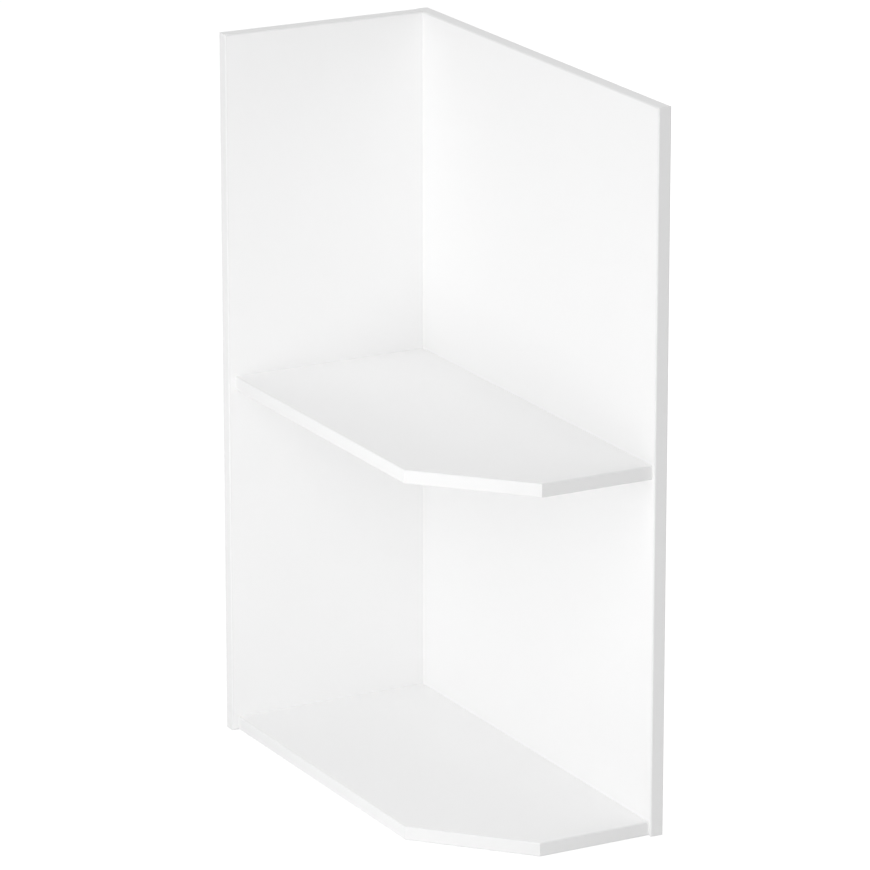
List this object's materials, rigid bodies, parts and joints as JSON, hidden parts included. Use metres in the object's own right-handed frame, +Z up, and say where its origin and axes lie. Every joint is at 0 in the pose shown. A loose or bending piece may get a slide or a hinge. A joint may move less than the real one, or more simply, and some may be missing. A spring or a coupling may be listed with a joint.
{
  "type": "open corner end shelf unit",
  "caption": "Open white corner end unit: a narrow back panel and a deep side panel at a right angle carry fixed shelves with a cut-off front corner, and hidden keyhole hangers.",
  "frame": {"origin": "middle of the unit's bounding box in plan, on the plane of its underside", "axes": "+Z up; +Y towards the wall, square to the back panel; +X towards the neighbouring cabinet, square to the side panel; the shelves are open towards -X and -Y"},
  "size_m": [0.265, 0.54, 0.82],
  "materials": {
    "board": "chipboard faced both sides with smooth white melamine, satin; bare chipboard on unbanded edges",
    "edge_strip": "white ABS edging, satin",
    "screw_steel": "bright zinc plated",
    "dowel_wood": "fluted beech",
    "hanger_steel": "zinc plated pressed sheet"
  },
  "bodies": {
    "root": {"side_panel": "board", "back_panel": "board", "bottom_shelf": "board", "middle_shelf": "board", "side_panel_front_band": "edge_strip", "side_panel_top_band": "edge_strip", "side_panel_bottom_band": "edge_strip", "back_panel_end_band": "edge_strip", "back_panel_top_band": "edge_strip", "back_panel_bottom_band": "edge_strip", "bottom_shelf_end_band": "edge_strip", "bottom_shelf_corner_band": "edge_strip", "bottom_shelf_front_band": "edge_strip", "middle_shelf_end_band": "edge_strip", "middle_shelf_corner_band": "edge_strip", "middle_shelf_front_band": "edge_strip", "corner_joint_screws": "screw_steel", "bottom_shelf_side_screws": "screw_steel", "bottom_shelf_back_screws": "screw_steel", "middle_shelf_side_screws": "screw_steel", "middle_shelf_back_screws": "screw_steel", "hanger_screws_left": "screw_steel", "hanger_screws_right": "screw_steel", "corner_joint_dowels": "dowel_wood", "bottom_shelf_side_dowels": "dowel_wood", "bottom_shelf_back_dowels": "dowel_wood", "middle_shelf_side_dowels": "dowel_wood", "middle_shelf_back_dowels": "dowel_wood", "hanger_plate_left": "hanger_steel", "hanger_plate_right": "hanger_steel"}
  },
  "joints": []
}
